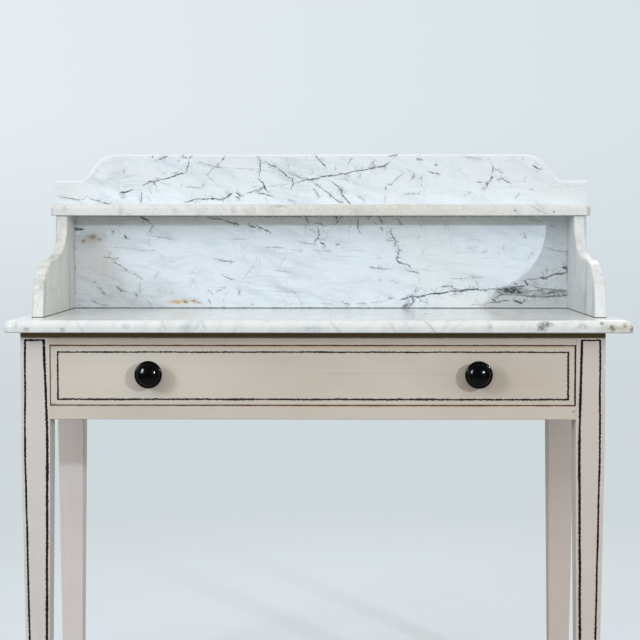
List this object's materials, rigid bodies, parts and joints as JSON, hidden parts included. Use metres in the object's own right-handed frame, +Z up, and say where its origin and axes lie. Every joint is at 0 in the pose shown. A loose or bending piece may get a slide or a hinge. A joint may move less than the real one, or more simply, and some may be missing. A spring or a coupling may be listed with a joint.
{
  "type": "marble-top vanity",
  "caption": "Marble-top vanity: painted stand on tapered legs with a wide drawer and black knobs, marble splashback with an ogee crest, curved cheeks and a narrow shelf.",
  "frame": {"origin": "on the floor under the middle of the overall bounding box", "axes": "+X to the viewer's right facing the drawer, +Y from the drawer to the wall, +Z up"},
  "size_m": [1.071, 0.483, 1.061],
  "materials": {
    "marble": "polished white marble with grey veins",
    "painted_wood": "old putty-coloured paint, satin",
    "bare_pine": "unpainted aged pine",
    "ebonised_wood": "black gloss",
    "putty": "dark bedding putty",
    "brass": "plain",
    "steel": "plain dull"
  },
  "bodies": {
    "stand": {"marble_top": "marble", "marble_back": "marble", "left_cheek": "marble", "right_cheek": "marble", "marble_shelf": "marble", "bedding_putty": "putty", "cheek_dowels": "brass", "back_dowels": "brass", "shelf_dowels": "brass", "front_left_leg": "painted_wood", "front_right_leg": "painted_wood", "rear_left_leg": "painted_wood", "rear_right_leg": "painted_wood", "top_front_rail": "painted_wood", "bottom_front_rail": "painted_wood", "left_side_rail": "painted_wood", "right_side_rail": "painted_wood", "back_rail": "painted_wood", "left_runner": "bare_pine", "right_runner": "bare_pine", "left_guide": "bare_pine", "right_guide": "bare_pine", "left_kicker": "bare_pine", "right_kicker": "bare_pine", "guide_screws": "steel", "drawer_stops": "bare_pine"},
    "drawer": {"drawer_front": "painted_wood", "drawer_left_side": "bare_pine", "drawer_right_side": "bare_pine", "drawer_back": "bare_pine", "drawer_bottom": "bare_pine", "bottom_nails": "steel", "left_knob": "ebonised_wood", "right_knob": "ebonised_wood", "knob_screws": "steel"}
  },
  "joints": [
    {"name": "drawer_slide", "type": "slide", "parent": "stand", "child": "drawer", "axis": [0, -1, 0], "range_m": [0, 0.3]}
  ]
}
